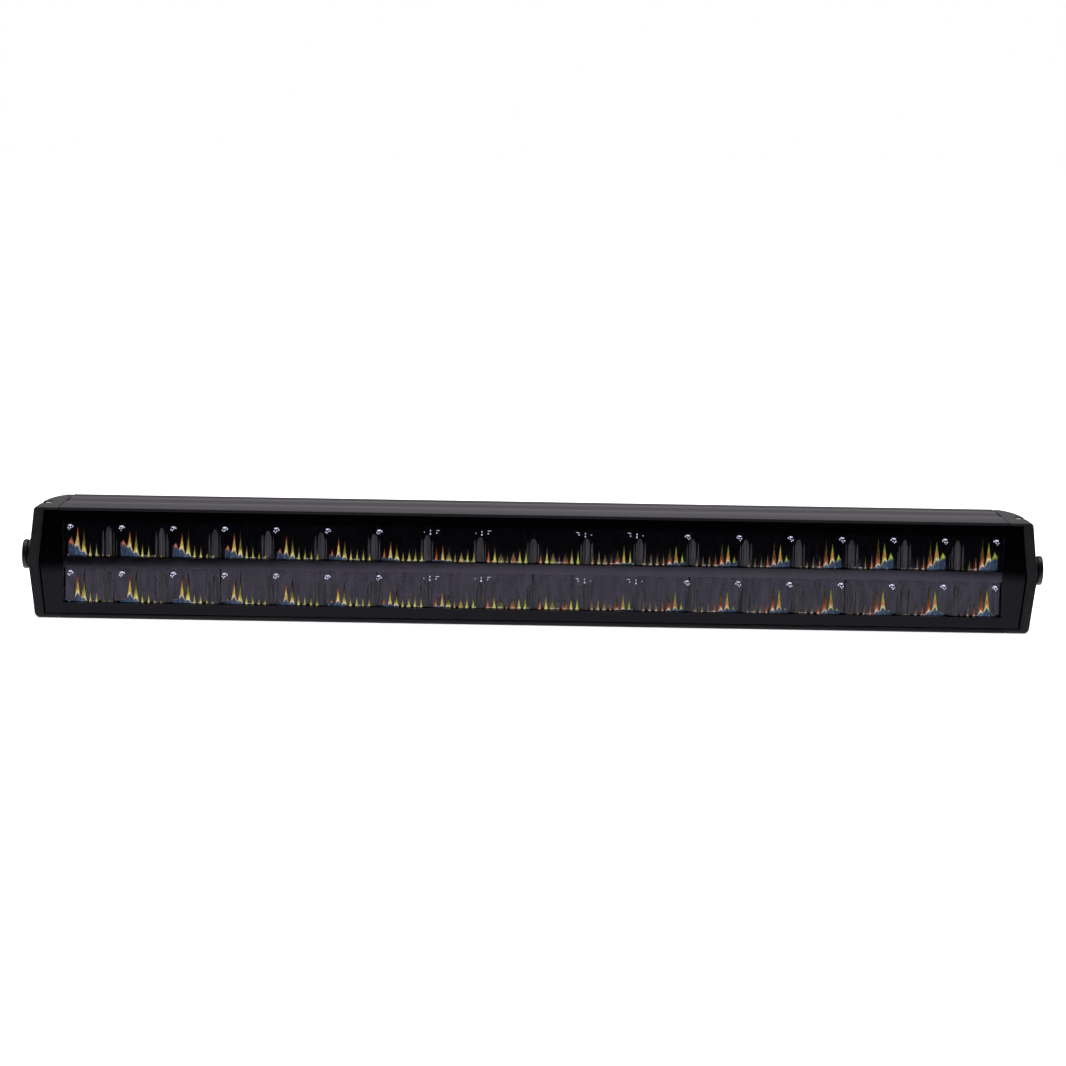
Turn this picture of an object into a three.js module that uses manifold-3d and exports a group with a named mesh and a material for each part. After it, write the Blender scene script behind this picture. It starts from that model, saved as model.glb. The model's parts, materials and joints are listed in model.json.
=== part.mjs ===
// Double-row LED light bar with two side mounting bolts.
// Millimetres. +X runs along the bar, -Y is the lens side, +Z is up.
// The origin is the middle of the side bolts' axis, which is also the middle of the bar.
import * as THREE from 'three';
import { mergeVertices } from 'three/addons/utils/BufferGeometryUtils.js';
import Module from 'manifold-3d';

const wasm = await Module();
wasm.setup();

// ---------------------------------------------------------------- driving dimensions

const HEIGHT = 91.2;               // housing, bottom to top
const DEPTH = 90;                  // housing, lens side to the fins' tips
const FRONT_Y = -48.6;             // lens-side face of the housing
const EXTRUSION_HALF = 386;        // half length of the extruded housing
const CAP_CORNER_X = 406.6;        // end cap's outer face at its top and bottom edges
const CAP_APEX_X = 411.2;          // end cap's outer face at mid height
const BOSS_FACE_X = 413.4;         // flat boss that the mounting bolt screws into
const BOLT_FACE_X = 422.4;         // outer face of the mounting bolt's head
const OVERALL_BACK_Y = 48.6;       // end of the cable gland

const CELL_PITCH = 42.6;           // spacing of the light cells
const CELLS_PER_STRIP = 3;
const STRIPS_PER_ROW = 6;
const FLUTES_PER_CELL = 7;
const FLUTE_PITCH = 5.1;
const ROW_CENTRE_Z = 19;           // centre of the upper row above the bar's middle
const ROW_HEIGHT = 30;

const SCREW_HOLE_R = 2.7;          // clearance hole of an end cap screw
const SCREW_R = 2.3;
const SCREW_HEAD_R = 4.5;
const SCREW_HEAD_LENGTH = 5;

const TOP = HEIGHT / 2;
const BACK_Y = FRONT_Y + DEPTH;
const STRIP_LENGTH = CELL_PITCH * CELLS_PER_STRIP;
const ROW_HALF = STRIP_LENGTH * STRIPS_PER_ROW / 2;

// Layers behind one another, as distances back from the front face.
const LIP = 2.6;                   // height of the lips above and below the lens
const LENS = { front: 2, back: 5 };
const BORDER = { front: 5.05, back: 5.3 };
const LENS_GASKET = { front: 5.35, back: 5.9 };
const LEDGE = { front: 6, back: 9 };
const BEZEL = { front: 6.1, back: 8.1 };
const OPTIC_PLATE = { front: 8.4, back: 11 };
const OPTIC_END = 49.2;
const EMITTER_FRONT = 49.6;
const LED_BOARD = { front: 50.8, back: 52.4 };
const PAD = { front: 52.45, back: 52.95 };
const WEB = { front: 53, back: 58 };
const DRIVER_BOARD = { front: 59.6, back: 61.2 };
const CHAMBER_WALL = { front: 70, back: 73 };

const WINDOW = { halfLength: 383.4, halfHeight: 33.5 };
const LENS_HALF_HEIGHT = 42.7;
const LENS_HALF_LENGTH = 404;
const LEDGE_Z = 38.6;              // inner edge of the ledges that carry the lens
const BEZEL_HALF_LENGTH = 394;
const BEZEL_HALF_HEIGHT = 38.3;
const DIVIDER_HALF = 4.5;          // bezel rib between the two rows
const CHAMBER_Z = 20;              // half height of the driver chamber
const WALL = 3.5;

// Screws of an end cap: axis as distance from the front and height, and x of the head's seat.
const SCREWS = [
  { name: 'top', depth: 34, z: 40.9, seatX: 396.4, edge: true },
  { name: 'bottom', depth: 34, z: -40.9, seatX: 396.4, edge: true },
  { name: 'back_upper', depth: 77, z: 30, seatX: 391, edge: false },
  { name: 'back_lower', depth: 77, z: -30, seatX: 391, edge: false },
];

const GLAND_X = 0;
const VENT_X = 42;
const LEAD_HOLE_X = -118;

// ---------------------------------------------------------------- materials

const finish = (color, roughness, metalness, extra = {}) =>
  new THREE.MeshStandardMaterial({ color, roughness, metalness, ...extra });

const materials = {
  housing: finish(0x1b1a1c, 0.42, 0.6),
  cap: finish(0x161617, 0.55, 0.5),
  gasket: finish(0x0c0c0d, 0.85, 0),
  lens: finish(0xf2f5f8, 0.05, 0, { transparent: true, opacity: 0.25 }),
  print: finish(0x060607, 0.3, 0),
  bezel: finish(0x0b0b0d, 0.4, 0),
  optic: finish(0xe8eef2, 0.08, 0, { transparent: true, opacity: 0.4 }),
  board: finish(0xe9e9e4, 0.5, 0),
  pad: finish(0x8d93a0, 0.8, 0),
  circuit: finish(0x1d4a2c, 0.5, 0),
  coil: finish(0x2a2a2c, 0.6, 0.1),
  can: finish(0xb9bcc0, 0.3, 0.8),
  leadRed: finish(0xa01818, 0.5, 0),
  leadBlack: finish(0x141414, 0.5, 0),
  nylon: finish(0x121213, 0.6, 0),
  bolt: finish(0x131314, 0.4, 0.7),
  rubber: finish(0x0e0e0f, 0.9, 0),
  stainless: finish(0xc6c8ca, 0.25, 1),
};

// ---------------------------------------------------------------- shape helpers

const depth = (distance) => FRONT_Y + distance;

function polygon(points) {
  return new THREE.Shape(points.map(([a, b]) => new THREE.Vector2(a, b)));
}

// Points of an arc about (a, b), counted in degrees.
function arc(a, b, radius, from, to, steps = 5) {
  return Array.from({ length: steps + 1 }, (_, i) => {
    const angle = THREE.MathUtils.degToRad(from + (to - from) * i / steps);
    return [a + radius * Math.cos(angle), b + radius * Math.sin(angle)];
  });
}

function extrude(shape, length, bevel = {}) {
  return new THREE.ExtrudeGeometry(shape, { depth: length, bevelEnabled: false, ...bevel });
}

function orient(geometry, xAxis, yAxis, zAxis) {
  return geometry.applyMatrix4(new THREE.Matrix4().makeBasis(xAxis, yAxis, zAxis));
}

const X = new THREE.Vector3(1, 0, 0);
const Y = new THREE.Vector3(0, 1, 0);
const Z = new THREE.Vector3(0, 0, 1);
const MINUS_Y = new THREE.Vector3(0, -1, 0);

// A shape drawn as (y, z), extruded from x0 to x1.
const alongX = (shape, x0, x1) => orient(extrude(shape, x1 - x0), Y, Z, X).translate(x0, 0, 0);

// A shape drawn as (x, z), extruded from y0 to y1.
const alongY = (shape, y0, y1) => orient(extrude(shape, y1 - y0), X, Z, MINUS_Y).translate(0, y1, 0);

// A shape drawn as (x, y), extruded from z0 to z1.
const alongZ = (shape, z0, z1) => extrude(shape, z1 - z0).translate(0, 0, z0);

function box(x0, x1, y0, y1, z0, z1) {
  return new THREE.BoxGeometry(x1 - x0, y1 - y0, z1 - z0)
    .translate((x0 + x1) / 2, (y0 + y1) / 2, (z0 + z1) / 2);
}

// A round bar along X, centred on (y, z).
function rodX(radius, x0, x1, y = 0, z = 0, sides = 20) {
  return new THREE.CylinderGeometry(radius, radius, x1 - x0, sides)
    .rotateZ(-Math.PI / 2).translate((x0 + x1) / 2, y, z);
}

// A round bar, or cone, along Y: r0 is its radius at y0 and r1 at y1.
function rodY(r0, r1, y0, y1, x = 0, z = 0, sides = 18) {
  return new THREE.CylinderGeometry(r1, r0, y1 - y0, sides).translate(x, (y0 + y1) / 2, z);
}

// A turned piece about X: the profile is a closed list of (radius, x).
function turnedX(profile, sides = 24) {
  const points = [...profile, profile[0]].map(([r, x]) => new THREE.Vector2(r, x));
  return new THREE.LatheGeometry(points, sides).rotateZ(-Math.PI / 2);
}

// A turned piece about Y.
function turnedY(profile, sides = 18) {
  const points = [...profile, profile[0]].map(([r, y]) => new THREE.Vector2(r, y));
  return new THREE.LatheGeometry(points, sides);
}

// ---------------------------------------------------------------- booleans

function solid(geometry) {
  const bare = geometry.clone();
  bare.deleteAttribute('normal');
  bare.deleteAttribute('uv');
  const merged = mergeVertices(bare, 1e-5);
  return new wasm.Manifold(new wasm.Mesh({
    numProp: 3,
    vertProperties: new Float32Array(merged.attributes.position.array),
    triVerts: new Uint32Array(merged.index.array),
  }));
}

const union = (...geometries) => geometries.map(solid).reduce((all, next) => all.add(next));
const cut = (body, ...geometries) =>
  geometries.map(solid).reduce((all, next) => all.subtract(next), body);

function toGeometry(body) {
  const { vertProperties, triVerts } = body.getMesh();
  const geometry = new THREE.BufferGeometry();
  geometry.setAttribute('position', new THREE.BufferAttribute(new Float32Array(vertProperties), 3));
  geometry.setIndex(new THREE.BufferAttribute(new Uint32Array(triVerts), 1));
  geometry.computeVertexNormals();
  return geometry;
}

// The mirror image across the bar's middle, with its faces still pointing out.
function mirrored(geometry) {
  const copy = (geometry.index ? geometry.toNonIndexed() : geometry.clone()).scale(-1, 1, 1);
  const { array } = copy.attributes.position;
  for (let i = 0; i < array.length; i += 9) {
    const second = array.slice(i + 3, i + 6);
    array.copyWithin(i + 3, i + 6, i + 9);
    array.set(second, i + 6);
  }
  copy.deleteAttribute('uv');
  copy.computeVertexNormals();
  return copy;
}

const bar = new THREE.Group();

function add(name, geometry, material) {
  const mesh = new THREE.Mesh(geometry, material);
  mesh.name = name;
  bar.add(mesh);
}

// A piece for the right end, and its mirror image for the left end.
function addPair(name, geometry, material, suffix = '') {
  add(`${name}_right${suffix}`, geometry, material);
  add(`${name}_left${suffix}`, mirrored(geometry), material);
}

// ---------------------------------------------------------------- housing

// The top wall's section: lip, low ridges and shallow channels.
function topWallSection() {
  const edge = 0.9;
  const channel = 0.8;             // depth of the shallow channels between the ridges
  const insideZ = TOP - WALL - channel;
  const outer = [
    ...arc(edge, TOP - edge, edge, 180, 90, 4),
    [38.5, TOP], [39.5, TOP - channel], [60, TOP - channel], [66, TOP],
    [73, TOP], [74, TOP - channel], [82, TOP - channel], [84, TOP],
    ...arc(DEPTH - edge, TOP - edge, edge, 90, 0, 4),
  ];
  const inner = [
    [DEPTH, insideZ], [LEDGE.back, insideZ],
    [LEDGE.back, LEDGE_Z], [LEDGE.front, LEDGE_Z], [LEDGE.front, TOP - LIP], [0, TOP - LIP],
  ];
  return [...outer, ...inner].map(([d, z]) => [depth(d), z]);
}

function housing() {
  const length = (d0, d1, z0, z1) =>
    box(-EXTRUSION_HALF, EXTRUSION_HALF, depth(d0), depth(d1), z0, z1);
  const bothSides = (d0, d1, z0, z1) => [length(d0, d1, z0, z1), length(d0, d1, -z1, -z0)];
  const section = topWallSection();
  const walls = [section, section.map(([y, z]) => [y, -z])]
    .map((outline) => alongX(polygon(outline), -EXTRUSION_HALF, EXTRUSION_HALF));

  const wallZ = TOP - WALL;
  const finHalf = 1.1;
  const finTip = DEPTH - 1;
  const chamberWall = 3;
  const rail = 3;                  // width of the rails that carry the driver board
  const bossR = 5;
  const root = WEB.back - 0.5;
  const inner = [
    length(WEB.front, WEB.back, -wallZ, wallZ),
    length(CHAMBER_WALL.front, CHAMBER_WALL.back, -CHAMBER_Z - chamberWall, CHAMBER_Z + chamberWall),
    ...bothSides(root, CHAMBER_WALL.back, CHAMBER_Z, CHAMBER_Z + chamberWall),
    ...bothSides(root, DRIVER_BOARD.front - 0.1, CHAMBER_Z - rail, CHAMBER_Z + 1),
    ...bothSides(root, finTip, 36.9 - finHalf, 36.9 + finHalf),
    ...[4, 12, 20].flatMap((z) => bothSides(CHAMBER_WALL.back - 0.5, finTip, z - finHalf, z + finHalf)),
  ];
  for (const screw of SCREWS) {
    inner.push(rodX(bossR, -EXTRUSION_HALF, EXTRUSION_HALF, depth(screw.depth), screw.z, 16));
    if (!screw.edge) {
      const neck = 1.5;
      inner.push(length(root, screw.depth, screw.z - neck, screw.z + neck));
      inner.push(length(screw.depth, finTip, screw.z - finHalf, screw.z + finHalf));
    }
  }
  // The screw bosses under the walls stay inside the outer faces.
  const skin = 0.8;
  const envelope = box(-EXTRUSION_HALF, EXTRUSION_HALF, FRONT_Y, BACK_Y, -TOP + skin, TOP - skin);
  const body = union(...walls).add(union(...inner).intersect(solid(envelope)));

  const pilotR = SCREW_R + 0.3;
  const chamber = [depth(CHAMBER_WALL.front - 1), depth(CHAMBER_WALL.back + 1)];
  return toGeometry(cut(
    body,
    ...SCREWS.map((s) =>
      rodX(pilotR, -EXTRUSION_HALF - 1, EXTRUSION_HALF + 1, depth(s.depth), s.z, 12)),
    box(-22, 62, depth(CHAMBER_WALL.back), BACK_Y + 1, -18.5, 18.5),
    rodY(6.3, 6.3, ...chamber, GLAND_X),
    rodY(4.3, 4.3, ...chamber, VENT_X),
    rodY(5, 5, depth(WEB.front - 1), depth(WEB.back + 1), LEAD_HOLE_X, 0, 16),
  ));
}

add('housing', housing(), materials.housing);

// ---------------------------------------------------------------- end caps

const CAP_INNER_X = EXTRUSION_HALF + 0.8;
const GASKET = { near: EXTRUSION_HALF + 0.1, far: EXTRUSION_HALF + 0.7 };

const CAP_TOP = TOP - 0.1;

// Front outline of a cap: shallow V side, with rounder and slightly narrower corners at the bottom.
function capFrontOutline() {
  const topR = 2.8;
  const bottomR = 5;
  const bottomX = CAP_CORNER_X - 0.6;
  return polygon([
    [CAP_INNER_X, -CAP_TOP],
    ...arc(bottomX - bottomR, -CAP_TOP + bottomR, bottomR, -90, -6, 6),
    [CAP_APEX_X, 0],
    ...arc(CAP_CORNER_X - topR, CAP_TOP - topR, topR, 6, 90, 5),
    [CAP_INNER_X, CAP_TOP],
  ]);
}

// How far a cap's top corner reaches from its inner face at each depth: it narrows towards the back.
const CAP_PLAN = new THREE.QuadraticBezierCurve(
  new THREE.Vector2(45, CAP_CORNER_X - 1.2),
  new THREE.Vector2(78, CAP_CORNER_X - 4),
  new THREE.Vector2(DEPTH, CAP_CORNER_X - 17.5),
);

// A cap's outer shape: the front outline drawn back through stations that grow narrower.
function capShell() {
  const stations = [
    { distance: 0, reach: CAP_CORNER_X }, { distance: 15, reach: CAP_CORNER_X - 0.2 },
    ...CAP_PLAN.getPoints(12).map((p) => ({ distance: p.x, reach: p.y })),
  ].reverse();
  const steps = stations.length - 1;
  const geometry = extrude(capFrontOutline(), steps, { steps });
  const { position } = geometry.attributes;
  for (let i = 0; i < position.count; i += 1) {
    const { distance, reach } = stations[Math.round(position.getZ(i))];
    const narrowing = (reach - CAP_INNER_X) / (CAP_CORNER_X - CAP_INNER_X);
    position.setX(i, CAP_INNER_X + (position.getX(i) - CAP_INNER_X) * narrowing);
    position.setZ(i, -depth(distance));
  }
  return solid(orient(geometry, X, Z, MINUS_Y));
}

// Side outline: softened front and back edges.
function capSideOutline() {
  const front = 1;
  const back = 3;
  return polygon([
    ...arc(FRONT_Y + front, CAP_TOP - front, front, 180, 90, 4),
    ...arc(BACK_Y - back, CAP_TOP - back, back, 90, 0, 4),
    ...arc(BACK_Y - back, -CAP_TOP + back, back, 0, -90, 4),
    ...arc(FRONT_Y + front, -CAP_TOP + front, front, -90, -180, 4),
  ]);
}

// The opening in a cap's face, which shows the end of the lens and follows the V.
function lensOpening(grow) {
  const z = TOP - LIP + Math.min(grow, 0.3);
  const corner = 398.4 + grow;
  const apex = 403 + grow;
  const inner = CAP_INNER_X - 5;
  return polygon([[inner, -z], [corner, -z], [apex, 0], [corner, z], [inner, z]]);
}

// The recess round a screw's head: a counterbore, or a notch that opens in the cap's top or bottom.
function screwRecess({ depth: distance, z, seatX, edge }) {
  const y = depth(distance);
  const end = CAP_APEX_X + 2;
  if (!edge) return rodX(SCREW_HEAD_R + 1, seatX, end, y, z, 16);
  const up = Math.sign(z);
  const r = 6.6;
  const mouth = 7.6;
  return alongX(polygon([
    ...arc(y, z, r, up > 0 ? 180 : 0, up > 0 ? 360 : 180, 8),
    [y + up * mouth, up * (TOP + 1)], [y - up * mouth, up * (TOP + 1)],
  ]), seatX, end);
}

function endCap() {
  const hollowX = 395;
  const inner = CAP_INNER_X - 5;
  const pocket = [inner, LENS_HALF_LENGTH + 0.3, depth(LENS.front - 0.3), depth(LEDGE.front)];
  let body = cut(
    capShell().intersect(solid(alongX(capSideOutline(), CAP_INNER_X, CAP_APEX_X + 1))),
    alongY(lensOpening(0), FRONT_Y - 1, depth(LENS.front)),
    alongY(lensOpening(1.2), FRONT_Y - 1, FRONT_Y + 0.6),
    box(...pocket, -TOP + LIP, TOP - LIP),
    box(inner, hollowX, depth(LEDGE.front - 1), depth(WEB.front), -LEDGE_Z, LEDGE_Z),
    box(inner, hollowX, depth(WEB.back), depth(CHAMBER_WALL.front), -CHAMBER_Z, CHAMBER_Z),
  );

  // Screw columns and the mounting boss are put back into the hollow.
  const columns = SCREWS.filter((s) => s.edge)
    .map((s) => rodX(4.9, CAP_INNER_X, hollowX + 1, depth(s.depth), s.z * 0.98, 12));
  body = union(
    ...columns,
    rodX(10, CAP_INNER_X + 1, BOSS_FACE_X - 4, 0, 0, 20),
    rodX(13.6, CAP_APEX_X - 6, BOSS_FACE_X, 0, 0, 28),
  ).add(body);
  return toGeometry(cut(
    body,
    rodX(4.3, CAP_INNER_X + 4, BOSS_FACE_X + 1, 0, 0, 20),
    ...SCREWS.map((s) => rodX(SCREW_HOLE_R, CAP_INNER_X - 1, CAP_APEX_X, depth(s.depth), s.z, 12)),
    ...SCREWS.map(screwRecess),
  ));
}

addPair('end_cap', endCap(), materials.cap);

// Flat gasket between a cap and the extrusion, with openings for the cavities and screws.
function endGasket() {
  const front = depth(9.5);
  const back = BACK_Y - 1.5;
  const outline = polygon([[front, -TOP + 1], [back, -TOP + 1.8], [back, TOP - 1.8], [front, TOP - 1]]);
  const opening = (d0, d1, z) =>
    box(GASKET.near - 1, GASKET.far + 1, depth(d0), depth(d1), -z, z);
  const holes = SCREWS.map((s) =>
    rodX(SCREW_HOLE_R, GASKET.near - 1, GASKET.far + 1, depth(s.depth), s.z, 12));
  const body = cut(
    solid(alongX(outline, GASKET.near, GASKET.far)),
    opening(12.5, 50, 34.5), opening(60, 68.5, 18), ...holes,
  );
  return toGeometry(body);
}

addPair('end_gasket', endGasket(), materials.gasket);

// ---------------------------------------------------------------- front of the bar

// A flat frame with rectangular windows, each given as (half length, bottom, top).
function frame(layer, halfLength, halfHeight, ...windows) {
  const front = depth(layer.front);
  const back = depth(layer.back);
  const body = box(-halfLength, halfLength, front, back, -halfHeight, halfHeight);
  const cuts = windows.map(([halfX, z0, z1]) => box(-halfX, halfX, front - 1, back + 1, z0, z1));
  return toGeometry(cut(solid(body), ...cuts));
}

add('front_lens', box(
  -LENS_HALF_LENGTH, LENS_HALF_LENGTH, depth(LENS.front), depth(LENS.back),
  -LENS_HALF_HEIGHT, LENS_HALF_HEIGHT,
), materials.lens);

add('lens_border', frame(
  BORDER, LENS_HALF_LENGTH - 0.2, LENS_HALF_HEIGHT - 0.2,
  [WINDOW.halfLength, -WINDOW.halfHeight, WINDOW.halfHeight],
), materials.print);

add('lens_gasket', frame(
  LENS_GASKET, LENS_HALF_LENGTH - 0.2, LENS_HALF_HEIGHT - 0.2,
  [LENS_HALF_LENGTH - 4, -LEDGE_Z - 0.4, LEDGE_Z + 0.4],
), materials.gasket);

add('bezel_frame', frame(
  BEZEL, BEZEL_HALF_LENGTH, BEZEL_HALF_HEIGHT,
  [WINDOW.halfLength, DIVIDER_HALF, WINDOW.halfHeight],
  [WINDOW.halfLength, -WINDOW.halfHeight, -DIVIDER_HALF],
), materials.bezel);

// ---------------------------------------------------------------- optics

// One strip: a fluted plate over three cells, with a tapering collimator behind each cell.
function opticStrip(x0, z) {
  const left = x0 + 0.2;
  const right = x0 + STRIP_LENGTH - 0.2;
  const front = depth(OPTIC_PLATE.front);
  const valley = front + 0.9;
  const back = depth(OPTIC_PLATE.back);
  const centres = Array.from({ length: CELLS_PER_STRIP }, (_, cell) => x0 + (cell + 0.5) * CELL_PITCH);
  const points = [[left, valley]];
  for (const centre of centres) {
    const first = centre - FLUTES_PER_CELL * FLUTE_PITCH / 2;
    for (let flute = 0; flute < FLUTES_PER_CELL; flute += 1) {
      points.push([first + flute * FLUTE_PITCH, valley]);
      points.push([first + (flute + 0.5) * FLUTE_PITCH, front]);
    }
    points.push([first + FLUTES_PER_CELL * FLUTE_PITCH, valley]);
  }
  points.push([right, valley], [right, back], [left, back]);

  const plate = alongZ(polygon(points), z - ROW_HEIGHT / 2, z + ROW_HEIGHT / 2);
  const mouthR = 14.6;
  const throatR = 5;
  const collimators = centres.map((centre) =>
    rodY(mouthR, throatR, back - 0.5, depth(OPTIC_END), centre, z, 8));
  return toGeometry(union(plate, ...collimators));
}

for (const [row, z] of [['upper', ROW_CENTRE_Z], ['lower', -ROW_CENTRE_Z]]) {
  for (let i = 0; i < STRIPS_PER_ROW; i += 1) {
    add(`optic_${row}_${i + 1}`, opticStrip(-ROW_HALF + i * STRIP_LENGTH, z), materials.optic);
  }
}

// ---------------------------------------------------------------- LED boards

function ledBoard(x0) {
  const halfHeight = 34;
  const half = 2.5;                // half width of an LED package
  const front = depth(LED_BOARD.front);
  const back = depth(LED_BOARD.back);
  const parts = [box(x0 + 0.2, x0 + STRIP_LENGTH - 0.2, front, back, -halfHeight, halfHeight)];
  for (let cell = 0; cell < CELLS_PER_STRIP; cell += 1) {
    const x = x0 + (cell + 0.5) * CELL_PITCH;
    for (const z of [-ROW_CENTRE_Z, ROW_CENTRE_Z]) {
      parts.push(box(x - half, x + half, depth(EMITTER_FRONT), front + 0.5, z - half, z + half));
    }
  }
  const body = union(...parts);
  const holdsLeads = x0 < LEAD_HOLE_X && LEAD_HOLE_X < x0 + STRIP_LENGTH;
  const leadHole = rodY(3.4, 3.4, front - 1, back + 1, LEAD_HOLE_X, 0, 16);
  return toGeometry(holdsLeads ? cut(body, leadHole) : body);
}

for (let i = 0; i < STRIPS_PER_ROW; i += 1) {
  add(`led_board_${i + 1}`, ledBoard(-ROW_HALF + i * STRIP_LENGTH), materials.board);
}

// Bridging connectors that pass the supply from one LED board to the next.
for (let i = 1; i < STRIPS_PER_ROW; i += 1) {
  const x = -ROW_HALF + i * STRIP_LENGTH;
  const y = [depth(LED_BOARD.front - 3), depth(LED_BOARD.front - 0.1)];
  add(`board_link_${i}`, box(x - 4.5, x + 4.5, ...y, -3, 3), materials.nylon);
}

add('thermal_pad', toGeometry(cut(
  solid(box(-ROW_HALF + 1, ROW_HALF - 1, depth(PAD.front), depth(PAD.back), -33, 33)),
  rodY(3.8, 3.8, depth(PAD.front - 1), depth(PAD.back + 1), LEAD_HOLE_X, 0, 16),
)), materials.pad);

// ---------------------------------------------------------------- driver

add('driver_board', box(
  -110, 110, depth(DRIVER_BOARD.front), depth(DRIVER_BOARD.back), -18.5, 18.5,
), materials.circuit);

const ON_DRIVER = depth(DRIVER_BOARD.back + 0.1);
for (const [i, x] of [-78, -52].entries()) {
  add(`driver_inductor_${i + 1}`, toGeometry(union(
    box(x - 8, x + 8, ON_DRIVER, ON_DRIVER + 1.5, -8, 8),
    rodY(7.5, 7.5, ON_DRIVER + 1, ON_DRIVER + 7, x, 0, 20),
  )), materials.coil);
}
for (const [i, x] of [76, 92].entries()) {
  add(`driver_capacitor_${i + 1}`, rodY(5, 5, ON_DRIVER, ON_DRIVER + 7.5, x, 6, 20), materials.can);
}

// Leads from the driver, round its end, through the web to the third LED board.
function lead(z) {
  const route = [
    [-104, 61.9], [-109, 63.2], [-115, 62.6], [-118, 59],
    [-118, 55], [-118, 51.2], [-115.5, 49.2], [-111, 49],
  ].map(([x, d]) => new THREE.Vector3(x, depth(d), z));
  const section = polygon(arc(0, 0, 0.8, 0, 300, 5));
  const path = new THREE.CatmullRomCurve3(route);
  return new THREE.ExtrudeGeometry(section, { steps: 14, bevelEnabled: false, extrudePath: path });
}

add('led_lead_positive', lead(1.5), materials.leadRed);
add('led_lead_negative', lead(-1.5), materials.leadBlack);

// ---------------------------------------------------------------- cable gland and vent

const CABLE_R = 3.6;               // bore left for the supply cable
const WALL_BACK_Y = depth(CHAMBER_WALL.back);
const behindWall = (distance) => WALL_BACK_Y + distance;

function glandBody() {
  const boreR = CABLE_R + 0.6;
  const threadStart = depth(CHAMBER_WALL.front - 1.5);
  const collar = [behindWall(0.1), behindWall(5)];
  const stub = turnedY([
    [boreR, threadStart], [6, threadStart], [6, behindWall(1)],
    [7.6, behindWall(1)], [7.6, behindWall(12)], [boreR, behindWall(12)],
  ]);
  const hexagon = cut(
    solid(rodY(10.5, 10.5, ...collar, GLAND_X, 0, 6)),
    rodY(7, 7, behindWall(-1), behindWall(6), GLAND_X),
  );
  const neck = cut(
    solid(rodY(7.4, 7.4, ...collar, GLAND_X)),
    rodY(5.9, 5.9, behindWall(-1), behindWall(6), GLAND_X),
  );
  return toGeometry(solid(stub.translate(GLAND_X, 0, 0)).add(hexagon).add(neck));
}

const glandNut = turnedY([
  [7.9, behindWall(5.3)], [10, behindWall(5.3)], [10, behindWall(16)],
  [8.4, OVERALL_BACK_Y - 1.4], [6.6, OVERALL_BACK_Y], [CABLE_R, OVERALL_BACK_Y],
  [CABLE_R, behindWall(19)], [7.9, behindWall(17)],
]).translate(GLAND_X, 0, 0);

const SEAL = { inner: CABLE_R, outer: 7.4, near: behindWall(12.3), far: behindWall(16.6) };
const glandSeal = turnedY([
  [SEAL.inner, SEAL.near], [SEAL.outer, SEAL.near], [SEAL.outer, SEAL.far], [SEAL.inner, SEAL.far],
]).translate(GLAND_X, 0, 0);

add('gland_body', glandBody(), materials.nylon);
add('gland_nut', glandNut, materials.nylon);
add('gland_seal', glandSeal, materials.rubber);

add('breather_vent', toGeometry(union(
  rodY(4, 4, depth(CHAMBER_WALL.front - 1), behindWall(1), VENT_X),
  rodY(8, 8, behindWall(0.1), behindWall(5), VENT_X),
  rodY(8, 6.6, behindWall(5), behindWall(6.4), VENT_X),
)), materials.nylon);

// ---------------------------------------------------------------- mounting bolts

const RUBBER = { near: BOSS_FACE_X + 0.1, far: BOSS_FACE_X + 2 };
const WASHER = { near: RUBBER.far + 0.1, far: RUBBER.far + 1.6 };
const HEAD_NEAR_X = WASHER.far + 0.1;
const HEAD_R = 12.2;
const WASHER_BORE_R = 4.4;

// Bolt: round head with a softened rim, a short neck groove, a shank and a hexagon socket.
function sideBolt() {
  const rim = 1.3;
  const groove = 0.7;
  const neckR = 10.6;
  const shankR = 3.9;
  const tipX = 395.2;
  const rimX = HEAD_NEAR_X + groove;
  const profile = [
    [0, tipX], [shankR - 0.7, tipX], [shankR, tipX + 0.7], [shankR, HEAD_NEAR_X],
    [neckR, HEAD_NEAR_X], [neckR, rimX], [HEAD_R - rim, rimX],
    ...arc(HEAD_R - rim, rimX + rim, rim, -90, 0, 3),
    ...arc(HEAD_R - rim, BOLT_FACE_X - rim, rim, 0, 90, 3),
    [0, BOLT_FACE_X],
  ];
  const socketR = 3.5;             // corner radius of a 6 mm hexagon key
  const socket = rodX(socketR, BOLT_FACE_X - 3.4, BOLT_FACE_X + 1, 0, 0, 6);
  return toGeometry(cut(solid(turnedX(profile)), socket));
}

const ring = (inner, outer, { near, far }) =>
  turnedX([[inner, near], [outer, near], [outer, far], [inner, far]]);

addPair('side_bolt', sideBolt(), materials.bolt);
addPair('bolt_washer', ring(WASHER_BORE_R, 12.8, WASHER), materials.bolt);
addPair('rubber_washer', ring(WASHER_BORE_R, 12.6, RUBBER), materials.rubber);

// ---------------------------------------------------------------- end cap screws

function capScrew({ depth: distance, z, seatX }) {
  const y = depth(distance);
  const headX = seatX + 0.1;
  const endX = headX + SCREW_HEAD_LENGTH;
  const shankLength = 24;
  const socketR = 2.3;
  const socketDepth = 2.6;
  return toGeometry(cut(
    union(
      rodX(SCREW_R, headX - shankLength, headX + 1, y, z, 12),
      rodX(SCREW_HEAD_R, headX, endX, y, z, 18),
    ),
    rodX(socketR, endX - socketDepth, endX + 1, y, z, 6),
  ));
}

for (const screw of SCREWS) {
  addPair('cap_screw', capScrew(screw), materials.stainless, `_${screw.name}`);
}

export default bar;
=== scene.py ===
"""Looks of the LED light bar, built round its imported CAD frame.

Metres, +X along the bar, -Y the lens side, +Z up.
"""

import json
import math
import random

import bmesh
import bpy
from mathutils import Matrix, Vector


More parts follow.
